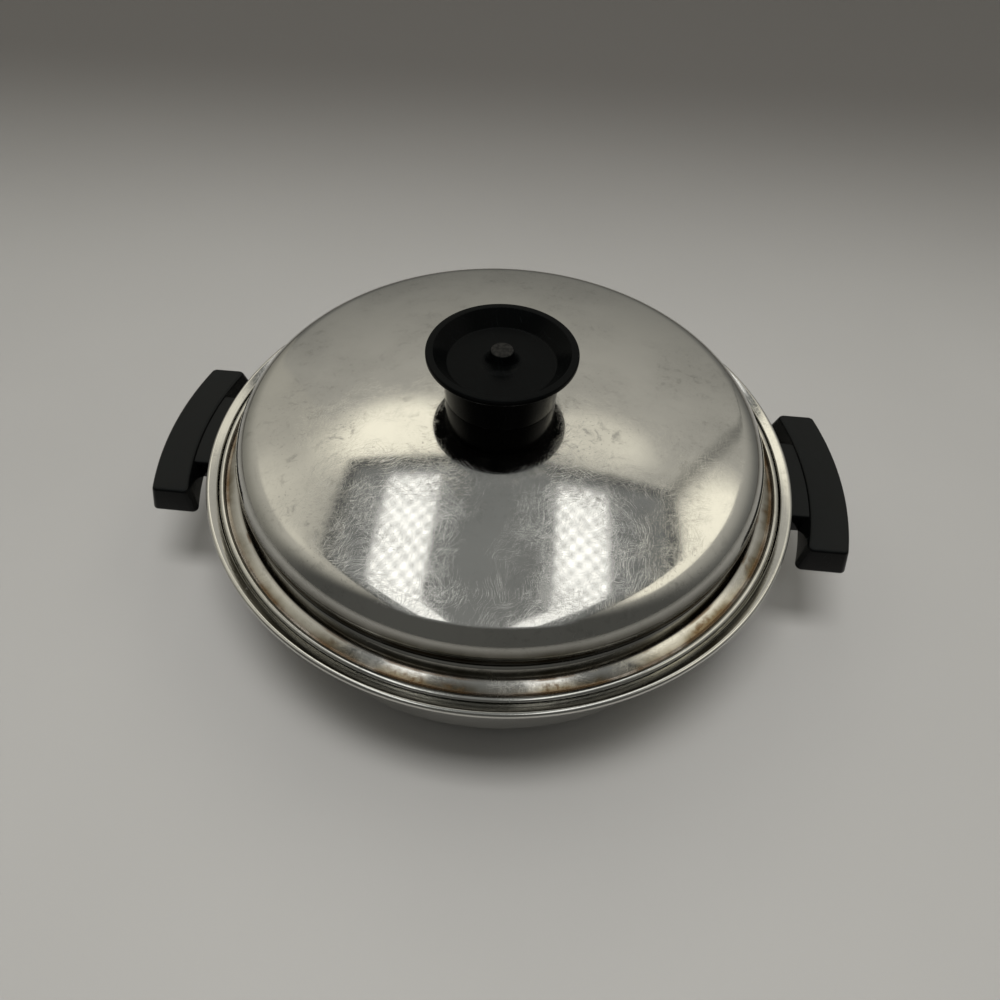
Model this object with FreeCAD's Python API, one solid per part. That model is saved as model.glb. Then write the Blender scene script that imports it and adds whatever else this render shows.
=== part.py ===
# Round electric skillet: a shallow stainless pan with an enclosed heating element, a lift-off dome lid
# with a dished knob, and two arc-shaped side handles.
# The handles point along X, the socket for the heat control faces +Y, and Z is up.
# Z is measured from the table, and the origin is on the table under the middle of the pan.
import FreeCAD, Part
import math
import os

Vec = FreeCAD.Vector
UP = Vec(0, 0, 1)
BACK = Vec(0, 1, 0)
quarter_turn = 90.0
same_place = 0.01          # edges nearer than this to a height or reach lie at it

# pan
rim_radius = 152.0
rim_height = 80.0          # top of the rolled rim above the table
base_height = 17.0         # outside of the pan's bottom above the table
pan_sheet = 1.6
rim_bead_radius = 1.5
lip_width = 4.1            # sloped lip between the rolled rim and the lid seat
lip_slope = 22.0           # degrees, from the rolled rim down to the seat's step
seat_depth = 4.3           # lid seat below the rim
seat_width = 6.2
seat_corner = 1.2
seat_edge = 2.2
wall_taper = 9.2          # degrees from vertical
pan_corner = 16.0          # outside radius where wall meets bottom

# lid
lid_sheet = 0.8
lid_side_gap = 0.9         # between the lid's hem and the step of the seat
lid_seat_gap = 0.3
hem_radius = 1.6           # rolled hem round the lid's edge
crown_rise = 38.2          # top of the dome above the rim
crown_radius = 685.0
shoulder_radius = 15.9
crease_inset = 13.8        # crease inside the step of the seat
crease_rise = 4.1
collar_spread = 3.1        # how much wider the collar's foot is than the crease
foot_rise = -1.3
flange_width = 5.3
flange_drop = 3.0          # flange groove below the rim
foot_corner = 0.9
groove_corner = 1.2

# knob
knob_rim_radius = 36.8
knob_rim_rise = 64.4       # knob rim above the pan rim
knob_lip_width = 3.6
knob_lip_edge = 3.0
knob_flare = 3.4           # height of the cove under the lip
knob_flare_corner = 3.0
lip_corner = 1.1
stem_top_radius = 28.8
stem_foot_radius = 28.0
dish_floor_radius = 26.5
dish_depth = 8.0
dish_corner = 1.5
nub_radius = 5.7
nub_height = 7.7
nub_spread = 1.0           # how much wider the nub is at its foot
nub_tip_corner = 1.0
nub_foot_corner = 5.0
knob_boss_radius = 9.0
knob_hollow_depth = 7.0
knob_wall = 4.0
knob_insert_radius = 4.5
knob_insert_length = 9.0
knob_screw_radius = 2.5
knob_screw_head_radius = 5.0
knob_screw_head_height = 2.6
knob_screw_grip = 7.0      # thread length inside the insert
knob_washer_radius = 8.5
knob_washer_thickness = 1.0

# side handles
handle_top_drop = 6.0      # top of the handle below the rim
handle_height = 14.2
finger_gap = 10.1          # between the rolled rim and the handle
handle_top_width = 18.6
handle_draft = 2.6         # how much each side spreads from top to bottom
handle_half_length = 47.6  # along Y, at the top face
handle_corner = 3.0
handle_edge = 1.6
block_width = 52.0
block_top_drop = 1.2       # block top below the handle's top
block_bottom_rise = 0.8    # block bottom above the handle's bottom
root_depth = 32.0          # inside the rim, where pieces that are cut to the pan's wall begin
saddle_sheet = 1.6
saddle_extra = 2.0         # how far the saddle shows past each side of the block
saddle_height = 10.5
tongue_width = 30.0
tongue_thickness = 2.0
tongue_reach = 20.0
tongue_inset = 2.0         # tongue above the block's underside
handle_screw_radius = 2.5
handle_screw_head_radius = 4.4
handle_screw_head_height = 1.8
handle_screw_spacing = 18.0
handle_screw_setback = 6.5  # screw axis from the tongue's outer end
handle_insert_radius = 3.8
handle_insert_length = 7.0
handle_screw_grip = 6.0    # thread length inside the insert

# heating base
cover_inset = 38.0         # cover's side inside the rim
spreader_gap = 7.5         # between the spreader's edge and the cover
spreader_thickness = 5.0
element_radius = 3.2
element_inset = 27.5       # middle of the element inside the spreader's edge
element_bend_radius = 14.0
element_sink = 1.7         # how deep the element lies in the spreader
cover_sheet = 1.0
cover_corner = 4.0
foot_height = 4.0
foot_radius = 10.0
foot_taper = 1.2
foot_inset = 19.0          # middle of each foot inside the cover's side
foot_count = 4
foot_screw_radius = 2.0
foot_screw_head_radius = 4.0
foot_screw_head_height = 1.6
foot_screw_recess = 1.0    # screw head above the table
foot_screw_grip = 3.5      # thread length in the spreader
spacer_wall = 1.5
screw_clearance = 0.3
head_rounding = 1 / 3      # of a screw head's height
driver_share = 0.5         # driver recess, of the shank's radius and the head's height
clamp_count = 3
clamp_width = 8.0
clamp_sheet = 1.0
clamp_ear = 8.0
clamp_screw_radius = 1.5
clamp_screw_head_radius = 2.6
clamp_screw_head_height = 1.2
clamp_screw_grip = 3.0

# socket for the heat control
pin_spacing = 27.0
pin_radius = 2.4
pin_tip_radius = 1.2
pin_shank_radius = 1.8     # thinner part of the pin, held by the insulator
pin_shoulder_gap = 0.5     # between the insulator and the pin's shoulder
pin_reach_out = 20.0       # pin tips beyond the cover's side
element_end_inset = 2.0    # ends of the element inside the cover's side
insulator_radius = 4.4
insulator_back = 6.0       # insulator over the end of the element
insulator_front = 7.0      # insulator over the pin
well_radius = 4.0
well_bore_radius = 3.2
well_inset = 26.0          # closed end of the sensor well inside the element's ring
well_end_wall = 1.5
guard_width = 46.0
guard_wall = 2.0
guard_overhang = 6.0       # guard's mouth beyond the pin tips
guard_bottom = 3.4
guard_top_gap = 0.4        # under the pan
guard_back_wall = 3.0
guard_ear_reach = 11.0     # edge of each ear past the guard's side
guard_ear_thickness = 2.5
guard_ear_drop = 1.0       # ears start this far above the guard's bottom
guard_screw_offset = 5.5   # screw axis past the guard's side
guard_screw_radius = 1.4
guard_screw_head_radius = 2.6
guard_screw_head_height = 1.3

# places worked out from the sizes above
pan_depth = rim_height - base_height
pan_bottom = rim_height - pan_depth
pan_floor = pan_bottom + pan_sheet
seat_height = rim_height - seat_depth
step_radius = rim_radius - rim_bead_radius - lip_width
taper = math.tan(math.radians(wall_taper))
crease_radius = step_radius - crease_inset
handle_inner_radius = rim_radius + finger_gap
root_start = rim_radius - root_depth
cover_radius = rim_radius - cover_inset
spreader_radius = cover_radius - cover_sheet - spreader_gap
element_ring_radius = spreader_radius - element_inset
foot_circle_radius = cover_radius - foot_inset
element_end_reach = cover_radius - element_end_inset
pin_reach = cover_radius + pin_reach_out
well_start = element_ring_radius - well_inset
guard_reach = pin_reach + guard_overhang
spreader_bottom = pan_bottom - spreader_thickness
element_height = spreader_bottom + element_sink - element_radius
lid_top = rim_height + crown_rise
crown_centre = lid_top - crown_radius
handle_top = rim_height - handle_top_drop
handle_bottom = handle_top - handle_height
block_bottom = handle_bottom + block_bottom_rise
tongue_bottom = block_bottom + tongue_inset
tongue_top = tongue_bottom + tongue_thickness


def wall_radius(height):
    """Outside radius of the pan's tapered wall at a height above the table."""
    step_outside = step_radius - seat_width + pan_sheet / math.cos(math.radians(wall_taper))
    return step_outside - (seat_height - height) * taper


def corner_arc(before, corner, after, radius):
    """Start, middle and end of the arc that rounds a corner of an outline."""
    back = (before - corner).normalize()
    ahead = (after - corner).normalize()
    half = back.getAngle(ahead) / 2
    reach = radius / math.tan(half)
    bisector = (back + ahead).normalize()
    centre = corner + bisector * (radius / math.sin(half))
    return corner + back * reach, centre - bisector * radius, corner + ahead * reach


def rounded_edges(points):
    """Lines and arcs through (radius, height, corner radius) points, in the XZ plane."""
    places = [Vec(x, 0, z) for x, z, corner in points]
    edges = []
    start = places[0]
    for index in range(1, len(points) - 1):
        corner = points[index][2]
        if corner:
            first, middle, last = corner_arc(places[index - 1], places[index], places[index + 1], corner)
        else:
            first = middle = last = places[index]
        edges.append(Part.makeLine(start, first))
        if corner:
            edges.append(Part.Arc(first, middle, last).toShape())
        start = last
    edges.append(Part.makeLine(start, places[-1]))
    return edges


def turned(points):
    """Solid turned about Z from a closed outline of (radius, height, corner radius) points."""
    edges = rounded_edges(points)
    first = edges[0].Vertexes[0].Point
    last = edges[-1].Vertexes[-1].Point
    edges.append(Part.makeLine(last, first))
    return Part.Face(Part.Wire(edges)).revolve(Vec(), UP, 360)


def sheet_turned(edges, thickness):
    """Sheet metal turned about Z: a path of edges given a thickness on its lower or outer side."""
    path = Part.Wire(edges)
    face = path.makeOffset2D(thickness, 0, True, True)
    return face.revolve(Vec(), UP, 360)


def rod(radius, start, direction, length):
    return Part.makeCylinder(radius, length, start, direction)


def tube(radius, bore, start, direction, length):
    return rod(radius, start, direction, length).cut(rod(bore, start, direction, length))


def around(shape, degrees):
    return shape.copy().rotate(Vec(), UP, degrees)


def mirrored(shape):
    """The same piece on the -X side."""
    return shape.mirror(Vec(), Vec(1, 0, 0))


def save(name, shapes):
    if not isinstance(shapes, list):
        shapes = [shapes]
    solids = [solid for shape in shapes for solid in shape.removeSplitter().Solids]
    for solid in solids:
        if not solid.isValid() or solid.Volume <= 0:
            raise ValueError("bad solid in " + name)
    result = solids[0] if len(solids) == 1 else Part.makeCompound(solids)
    result.exportStep("parts/" + name + ".step")
    print(name, len(solids), round(sum(s.Volume for s in solids)), result.BoundBox)
    return result


def make_pan():
    """Sheet pan: flat bottom, rounded corner, tapered wall, stepped lid seat, sloped lip and rolled rim."""
    bead_centre = Vec(rim_radius - rim_bead_radius, 0, rim_height - rim_bead_radius)
    slope = math.radians(lip_slope)
    lip_end = bead_centre + Vec(-math.sin(slope), 0, math.cos(slope)) * rim_bead_radius
    lip_start = lip_end.z - (lip_end.x - step_radius) * math.tan(slope)
    seat_start = step_radius - seat_width
    edges = rounded_edges([
        (0, pan_floor, 0),
        (seat_start - (seat_height - pan_floor) * taper, pan_floor, pan_corner - pan_sheet),
        (seat_start, seat_height, seat_edge),
        (step_radius, seat_height, seat_corner),
        (step_radius, lip_start, 0),
        (lip_end.x, lip_end.z, 0),
    ])
    shell = sheet_turned(edges, -pan_sheet)
    bead = Part.makeTorus(bead_centre.x, rim_bead_radius, Vec(0, 0, bead_centre.z), UP)
    return shell.fuse(bead)


def dome_edges():
    """Crown and shoulder arcs of the lid's outside, from the apex to the crease."""
    crease = Vec(crease_radius, 0, rim_height + crease_rise)
    crown = Vec(0, 0, crown_centre)
    reach = crown_radius - shoulder_radius
    apart = crease - crown
    along = (reach ** 2 - shoulder_radius ** 2 + apart.Length ** 2) / (2 * apart.Length)
    side = math.sqrt(reach ** 2 - along ** 2)
    unit = Vec(apart).normalize()
    shoulder = crown + unit * along + Vec(-unit.z, 0, unit.x) * side
    outward = (shoulder - crown).normalize()
    joint = crown + outward * crown_radius
    crown_middle = crown + (outward + UP).normalize() * crown_radius
    to_crease = (crease - shoulder).normalize()
    shoulder_middle = shoulder + (outward + to_crease).normalize() * shoulder_radius
    return [
        Part.Arc(Vec(0, 0, lid_top), crown_middle, joint).toShape(),
        Part.Arc(joint, shoulder_middle, crease).toShape(),
    ]


def make_lid():
    """High dome over a sloped collar, a flange that rests on the pan's seat, and a rolled hem."""
    hem_circle = step_radius - lid_side_gap - hem_radius
    hem_height = seat_height + lid_seat_gap + hem_radius
    foot = crease_radius + collar_spread
    groove_height = rim_height - flange_drop
    flange = rounded_edges([
        (crease_radius, rim_height + crease_rise, 0),
        (foot, rim_height + foot_rise, foot_corner),
        (foot + flange_width, groove_height, groove_corner),
        (hem_circle, groove_height, 0),
    ])
    shell = sheet_turned(dome_edges() + flange, -lid_sheet)
    hem = Part.makeTorus(hem_circle, hem_radius, Vec(0, 0, hem_height), UP)
    screw_hole = rod(knob_screw_radius + screw_clearance, Vec(0, 0, rim_height), UP, 2 * crown_rise)
    return shell.fuse(hem).cut(screw_hole)


def lid_underside(radius):
    """Height of the dome's inner face at a radius on the crown."""
    inner = crown_radius - lid_sheet
    return crown_centre + math.sqrt(inner ** 2 - radius ** 2)


def make_knob():
    """Dished knob: wide lip on a round stem, with a nub in the middle of the dish."""
    top = rim_height + knob_rim_rise
    floor = top - dish_depth
    mouth = knob_rim_radius - knob_lip_width
    lip_bottom = top - knob_lip_edge
    below = lid_top - stem_foot_radius
    outline = turned([
        (0, floor + nub_height, 0),
        (nub_radius, floor + nub_height, nub_tip_corner),
        (nub_radius + nub_spread, floor, nub_foot_corner),
        (dish_floor_radius, floor, dish_corner),
        (mouth, top, lip_corner),
        (knob_rim_radius, top, lip_corner),
        (knob_rim_radius, lip_bottom, lip_corner),
        (stem_top_radius, lip_bottom - knob_flare, knob_flare_corner),
        (stem_foot_radius, below, 0),
        (0, below, 0),
    ])
    dome = Part.makeSphere(crown_radius, Vec(0, 0, crown_centre))
    boss_top = lid_top + knob_hollow_depth
    hollow = tube(stem_foot_radius - knob_wall, knob_boss_radius, Vec(0, 0, below), UP, boss_top - below)
    insert_hole = rod(knob_insert_radius, Vec(0, 0, below), UP, lid_top + knob_insert_length - below)
    return outline.cut(dome).cut(hollow).cut(insert_hole)


def make_knob_insert():
    dome = Part.makeSphere(crown_radius, Vec(0, 0, crown_centre))
    start = Vec(0, 0, lid_top - knob_insert_radius)
    length = knob_insert_length + knob_insert_radius
    return tube(knob_insert_radius, knob_screw_radius, start, UP, length).cut(dome)


def make_knob_washer():
    bottom = lid_underside(knob_washer_radius) - knob_washer_thickness
    bore = knob_screw_radius + screw_clearance
    return tube(knob_washer_radius, bore, Vec(0, 0, bottom), UP, knob_washer_thickness)


def screw(place, direction, head, head_height, shank, length):
    """Round-headed screw seated at a place, pointing along a direction, with a round driver recess."""
    top = place - direction * head_height
    pan_head = rod(head, top, direction, head_height)
    crown = pan_head.Edges[screw_crown_edge(pan_head, place, direction)]
    pan_head = pan_head.makeFillet(head_height * head_rounding, [crown])
    driver = rod(shank * driver_share, top, direction, head_height * driver_share)
    return pan_head.fuse(rod(shank, place, direction, length)).cut(driver)


def screw_crown_edge(head, place, direction):
    """Index of the circular edge that is furthest back along a screw's head."""
    circles = [i for i, edge in enumerate(head.Edges) if edge.Curve.TypeId == "Part::GeomCircle"]
    return min(circles, key=lambda i: (head.Edges[i].CenterOfMass - place).dot(direction))


def make_knob_screw():
    seat = lid_underside(knob_washer_radius) - knob_washer_thickness
    length = lid_top + knob_screw_grip - seat
    return screw(Vec(0, 0, seat), UP, knob_screw_head_radius, knob_screw_head_height,
                 knob_screw_radius, length)


def sector_wire(inner, outer, half_length, height):
    """Closed wire between two arcs about the pan's axis, with its ends cut square to Y."""
    def at(radius, y):
        return Vec(math.sqrt(radius ** 2 - y ** 2), y, height)
    outer_arc = Part.Arc(at(outer, -half_length), at(outer, 0), at(outer, half_length)).toShape()
    inner_arc = Part.Arc(at(inner, half_length), at(inner, 0), at(inner, -half_length)).toShape()
    far_end = Part.makeLine(at(outer, half_length), at(inner, half_length))
    near_end = Part.makeLine(at(inner, -half_length), at(outer, -half_length))
    return Part.Wire([outer_arc, far_end, inner_arc, near_end])


def make_handle():
    """Arc-shaped grip with drafted sides, and the block that reaches in to the bracket."""
    outer = handle_inner_radius + handle_top_width
    bottom = sector_wire(handle_inner_radius - handle_draft, outer + handle_draft,
                         handle_half_length + handle_draft, handle_bottom)
    top = sector_wire(handle_inner_radius, outer, handle_half_length, handle_top)
    grip = Part.makeLoft([bottom, top], True, True)
    upright = [e for e in grip.Edges if abs(e.Vertexes[0].Z - e.Vertexes[-1].Z) > handle_height / 2]
    grip = grip.makeFillet(handle_corner, upright)
    for level in (handle_top, handle_bottom):
        flat = [e for e in grip.Edges if all(abs(v.Z - level) < same_place for v in e.Vertexes)]
        grip = grip.makeFillet(handle_edge, flat)
    block_height = handle_top - block_top_drop - block_bottom
    block_start = Vec(root_start, -block_width / 2, block_bottom)
    block = Part.makeBox(handle_inner_radius + handle_top_width / 2 - root_start, block_width,
                         block_height, block_start)
    upright = [e for e in block.Edges if abs(e.Vertexes[0].Z - e.Vertexes[-1].Z) > block_height / 2]
    block = block.makeFillet(handle_edge, upright)
    block = block.cut(wall_cone(saddle_sheet))
    handle = grip.fuse(block)
    handle = handle.cut(tongue_box(handle_bottom, tongue_top))
    for place in handle_screw_places():
        handle = handle.cut(rod(handle_insert_radius, place, UP, handle_insert_length))
    return handle


def wall_cone(extra):
    """Solid cone that fills the pan's tapered wall, grown outwards by a sheet thickness."""
    low = handle_bottom - handle_height
    high = seat_height
    grown = extra / math.cos(math.radians(wall_taper))
    return Part.makeCone(wall_radius(low) + grown, wall_radius(high) + grown, high - low, Vec(0, 0, low), UP)


def tongue_box(low, high):
    """Block of the bracket's tongue width that runs out from the pan's wall."""
    end = wall_radius(tongue_bottom) + saddle_sheet + tongue_reach
    return Part.makeBox(end - root_start, tongue_width, high - low, Vec(root_start, -tongue_width / 2, low))


def handle_screw_places():
    """Where the two handle screws pass the top of the tongue."""
    x = wall_radius(tongue_bottom) + saddle_sheet + tongue_reach - handle_screw_setback
    return [Vec(x, y, tongue_top) for y in (-handle_screw_spacing / 2, handle_screw_spacing / 2)]


def make_bracket():
    """Steel bracket: a saddle that lies on the pan's wall, and a tongue under the handle's block."""
    width = block_width + 2 * saddle_extra
    low = tongue_bottom
    slab = Part.makeBox(root_depth, width, saddle_height, Vec(root_start, -width / 2, low))
    saddle = slab.common(wall_cone(saddle_sheet)).cut(wall_cone(0))
    tongue = tongue_box(low, tongue_top).cut(wall_cone(0))
    bracket = saddle.fuse(tongue)
    for place in handle_screw_places():
        hole = rod(handle_screw_radius + screw_clearance, place - UP * tongue_thickness, UP, tongue_thickness)
        bracket = bracket.cut(hole)
    return bracket


def make_handle_screws():
    length = tongue_thickness + handle_screw_grip
    return [screw(place - UP * tongue_thickness, UP, handle_screw_head_radius, handle_screw_head_height,
                  handle_screw_radius, length) for place in handle_screw_places()]


def make_handle_inserts():
    return [tube(handle_insert_radius, handle_screw_radius, place, UP, handle_insert_length)
            for place in handle_screw_places()]


def bent_tube(radius):
    """Horseshoe tube about Z: a ring open at the back, whose ends bend out to run along +Y."""
    x_end = pin_spacing / 2
    x_bend = x_end + element_bend_radius
    y_bend = math.sqrt((element_ring_radius + element_bend_radius) ** 2 - x_bend ** 2)
    share = element_ring_radius / (element_ring_radius + element_bend_radius)
    meet = Vec(x_bend * share, y_bend * share, element_height)
    gap = math.degrees(math.atan2(meet.x, meet.y))
    section = Part.Face(Part.Wire(Part.makeCircle(radius, Vec(element_ring_radius, 0, element_height), BACK)))
    ring = around(section.revolve(Vec(), UP, 4 * quarter_turn - 2 * gap), quarter_turn + gap)
    bend_centre = Vec(x_bend, y_bend, element_height)
    section = Part.Face(Part.Wire(Part.makeCircle(radius, Vec(x_end, y_bend, element_height), BACK)))
    bend = section.revolve(bend_centre, UP, quarter_turn - gap)
    run = rod(radius, Vec(x_end, y_bend, element_height), BACK, element_end_reach - y_bend)
    side = run.fuse(bend)
    return ring.fuse([side, mirrored(side)])


def make_well():
    """Closed tube for the control's sensor, open towards the back."""
    start = Vec(0, well_start, element_height)
    outside = rod(well_radius, start, BACK, pin_reach - well_start)
    bore_start = start + BACK * well_end_wall
    return outside.cut(rod(well_bore_radius, bore_start, BACK, pin_reach))


def make_spreader():
    """Aluminium disc bonded under the pan, grooved for the element and the sensor well."""
    disc = rod(spreader_radius, Vec(0, 0, spreader_bottom), UP, spreader_thickness)
    well_space = rod(well_radius, Vec(0, well_start, element_height), BACK, pin_reach)
    disc = disc.cut(bent_tube(element_radius)).cut(well_space)
    for place in foot_places():
        disc = disc.cut(rod(foot_screw_radius, place, UP, spreader_bottom + foot_screw_grip))
    for place, angle in clamp_screw_places():
        disc = disc.cut(rod(clamp_screw_radius, place, UP, clamp_screw_grip))
    return disc


def foot_places():
    """Points on the table under the feet, between the handles and the socket."""
    step = 4 * quarter_turn / foot_count
    first = Part.Vertex(foot_circle_radius, 0, 0)
    return [around(first, step / 2 + i * step).Point for i in range(foot_count)]


def clamp_screw_places():
    """Screw points of the element clamps, on the spreader's underside, with each clamp's angle.

    The middle clamp is at the front, opposite the socket.
    """
    reach = element_radius + clamp_ear / 2
    places = []
    for i in range(clamp_count):
        angle = 3 * quarter_turn + (i - (clamp_count - 1) / 2) * 4 * quarter_turn / (clamp_count + 1)
        for radius in (element_ring_radius - reach, element_ring_radius + reach):
            point = around(Part.Vertex(radius, 0, spreader_bottom), angle).Point
            places.append((point, angle))
    return places


def clamp_slab(half, low, high):
    """Slab of a clamp's width across the element on the +X side, half as wide as given each way."""
    corner = Vec(element_ring_radius - half, -clamp_width / 2, low)
    return Part.makeBox(2 * half, clamp_width, high - low, corner)


def make_clamps():
    """Strip clamps that bend under the element and are screwed down on both sides of it."""
    outer = element_radius + clamp_sheet
    start = Vec(element_ring_radius, -clamp_width / 2, element_height)
    arch = tube(outer, element_radius, start, BACK, clamp_width)
    arch = arch.common(clamp_slab(outer, element_height - outer, element_height))
    strip = clamp_slab(outer, element_height, spreader_bottom)
    ears = clamp_slab(outer + clamp_ear, spreader_bottom - clamp_sheet, spreader_bottom)
    gap = clamp_slab(element_radius, element_height, spreader_bottom)
    clamp = arch.fuse([strip, ears]).cut(gap)
    angles = sorted({angle for place, angle in clamp_screw_places()})
    clamps = [around(clamp, angle).cut(bent_tube(element_radius)) for angle in angles]
    holes = [rod(clamp_screw_radius, place - UP * 2 * clamp_sheet, UP, 3 * clamp_sheet)
             for place, angle in clamp_screw_places()]
    return [piece.cut(holes) for piece in clamps]


def make_clamp_screws():
    return [screw(place - UP * clamp_sheet, UP, clamp_screw_head_radius, clamp_screw_head_height,
                  clamp_screw_radius, clamp_sheet + clamp_screw_grip)
            for place, angle in clamp_screw_places()]


def make_cover():
    """Shallow sheet tray under the element, with holes for the feet, the insulators and the well."""
    edges = rounded_edges([
        (0, foot_height, 0),
        (cover_radius, foot_height, cover_corner),
        (cover_radius, pan_bottom, 0),
    ])
    cover = sheet_turned(edges, cover_sheet)
    for place in foot_places():
        cover = cover.cut(rod(foot_screw_radius + screw_clearance, place, UP, 2 * foot_height))
    for x in (-pin_spacing / 2, pin_spacing / 2):
        cover = cover.cut(rod(insulator_radius, Vec(x, well_start, element_height), BACK, pin_reach))
    cover = cover.cut(rod(well_radius, Vec(0, well_start, element_height), BACK, pin_reach))
    for start, inward in guard_screw_places():
        cover = cover.cut(rod(guard_screw_radius, start, inward, 4 * guard_ear_thickness))
    return cover


def make_foot(place):
    """Tapered foot with a recess for its screw head."""
    body = Part.makeCone(foot_radius - foot_taper, foot_radius, foot_height, place, UP)
    bore = rod(foot_screw_radius + screw_clearance, place, UP, foot_height)
    recess_radius = foot_screw_head_radius + screw_clearance
    recess = rod(recess_radius, place, UP, foot_screw_recess + foot_screw_head_height)
    return body.cut(bore).cut(recess)


def make_foot_screw(place):
    seat = place + UP * (foot_screw_recess + foot_screw_head_height)
    length = spreader_bottom + foot_screw_grip - seat.z
    return screw(seat, UP, foot_screw_head_radius, foot_screw_head_height, foot_screw_radius, length)


def make_foot_spacer(place):
    """Sleeve on each foot screw that keeps the cover away from the element."""
    low = foot_height + cover_sheet
    bore = foot_screw_radius + screw_clearance
    return tube(bore + spacer_wall, bore, place + UP * low, UP, spreader_bottom - low)


def guard_outline(margin):
    """Box of the socket guard from inside the cover to its open mouth, shrunk by a margin."""
    top = pan_bottom - guard_top_gap
    return Part.makeBox(guard_width - 2 * margin, guard_reach, top - guard_bottom - 2 * margin,
                        Vec(margin - guard_width / 2, 0, guard_bottom + margin))


def make_guard():
    """Guard round the terminal pins: an open-mouthed box with a back wall and curved screw ears."""
    cover_fill = rod(cover_radius, Vec(), UP, rim_height)
    back_wall = rod(cover_radius + guard_back_wall, Vec(), UP, rim_height)
    box = guard_outline(0)
    box = box.makeFillet(guard_wall, [edge for edge in box.Edges if runs_back(edge)])
    body = box.cut(cover_fill).cut(guard_outline(guard_wall).cut(back_wall))
    height = pan_bottom - guard_top_gap - guard_bottom - guard_ear_drop
    low = Vec(0, 0, guard_bottom + guard_ear_drop)
    ring = tube(cover_radius + guard_ear_thickness, cover_radius, low, UP, height)
    ears = ring.common(wedge(ear_angle(guard_ear_reach))).cut(guard_outline(guard_wall))
    guard = body.fuse(ears)
    for x in (-pin_spacing / 2, pin_spacing / 2):
        guard = guard.cut(rod(insulator_radius, Vec(x, well_start, element_height), BACK, cover_radius))
    guard = guard.cut(rod(well_radius, Vec(0, well_start, element_height), BACK, cover_radius))
    for start, inward in guard_screw_places():
        guard = guard.cut(rod(guard_screw_radius + screw_clearance, start, inward, 2 * guard_ear_thickness))
    return guard


def runs_back(edge):
    """True for a straight edge along Y."""
    span = edge.Vertexes[-1].Point - edge.Vertexes[0].Point
    return abs(span.y) > abs(span.x) + abs(span.z)


def ear_angle(past_side):
    """Angle in degrees from +Y to a point on the ears' outer face, that far past the guard's side."""
    return math.degrees(math.asin((guard_width / 2 + past_side) / (cover_radius + guard_ear_thickness)))


def wedge(half_angle):
    """Tall wedge about Z that opens towards +Y by an angle each side."""
    reach = 2 * rim_radius
    side = reach * math.tan(math.radians(half_angle))
    corners = [Vec(), Vec(side, reach, 0), Vec(-side, reach, 0), Vec()]
    return Part.Face(Part.makePolygon(corners)).extrude(UP * rim_height)


def guard_screw_places():
    """Start point and inward direction of the two guard screws, on the ears' outer face."""
    places = []
    for side in (-1, 1):
        angle = math.radians(quarter_turn + side * ear_angle(guard_screw_offset))
        outward = Vec(math.cos(angle), math.sin(angle), 0)
        places.append((outward * (cover_radius + guard_ear_thickness) + UP * element_height, outward * -1))
    return places


def make_guard_screws():
    return [screw(start, inward, guard_screw_head_radius, guard_screw_head_height, guard_screw_radius,
                  guard_ear_thickness + cover_sheet)
            for start, inward in guard_screw_places()]


def make_pin(x):
    """Round terminal pin with a rounded tip, on a thinner shank that starts at the element's end."""
    start = Vec(x, element_end_reach, element_height)
    shank_length = insulator_front + pin_shoulder_gap
    pin = rod(pin_radius, start + BACK * shank_length, BACK, pin_reach - element_end_reach - shank_length)
    tip = [e for e in pin.Edges if abs(e.CenterOfMass.y - pin_reach) < same_place]
    return pin.makeFillet(pin_tip_radius, tip).fuse(rod(pin_shank_radius, start, BACK, shank_length))


def make_insulator(x):
    """Ceramic bush over the end of the element and the root of the pin."""
    start = Vec(x, element_end_reach - insulator_back, element_height)
    bush = rod(insulator_radius, start, BACK, insulator_back + insulator_front)
    bush = bush.cut(rod(element_radius, start, BACK, insulator_back))
    return bush.cut(rod(pin_shank_radius, start, BACK, insulator_back + insulator_front))


def build():
    os.makedirs("parts", exist_ok=True)
    save("pan_shell", make_pan())
    save("heating_element", bent_tube(element_radius))
    save("sensor_well", make_well())
    save("heat_spreader", make_spreader())
    save("element_clamps", make_clamps())
    save("element_clamp_screws", make_clamp_screws())
    save("base_cover", make_cover())
    for name, place in zip(("back_right", "back_left", "front_left", "front_right"), foot_places()):
        save("foot_" + name, make_foot(place))
    save("foot_screws", [make_foot_screw(place) for place in foot_places()])
    save("foot_spacers", [make_foot_spacer(place) for place in foot_places()])
    save("socket_guard", make_guard())
    save("socket_guard_screws", make_guard_screws())
    for name, x in (("left", -pin_spacing / 2), ("right", pin_spacing / 2)):
        save("terminal_pin_" + name, make_pin(x))
        save("terminal_insulator_" + name, make_insulator(x))
    handle = make_handle()
    bracket = make_bracket()
    for name, place in (("right", Part.Shape.copy), ("left", mirrored)):
        save("handle_" + name, place(handle))
        save("handle_bracket_" + name, place(bracket))
        save("handle_screws_" + name, [place(shape) for shape in make_handle_screws()])
        save("handle_inserts_" + name, [place(shape) for shape in make_handle_inserts()])
    save("lid_shell", make_lid())
    save("lid_knob", make_knob())
    save("knob_insert", make_knob_insert())
    save("knob_washer", make_knob_washer())
    save("knob_screw", make_knob_screw())


build()
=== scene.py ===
"""Finishes a round electric skillet: polished pan, lift-off dome lid, dished knob, side handles and base."""
import math

import bmesh
import bpy
from bpy.props import FloatProperty, FloatVectorProperty, IntProperty, PointerProperty
from bpy.types import NodeSocket, Operator, Panel, PropertyGroup
from mathutils import Matrix, Vector


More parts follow.
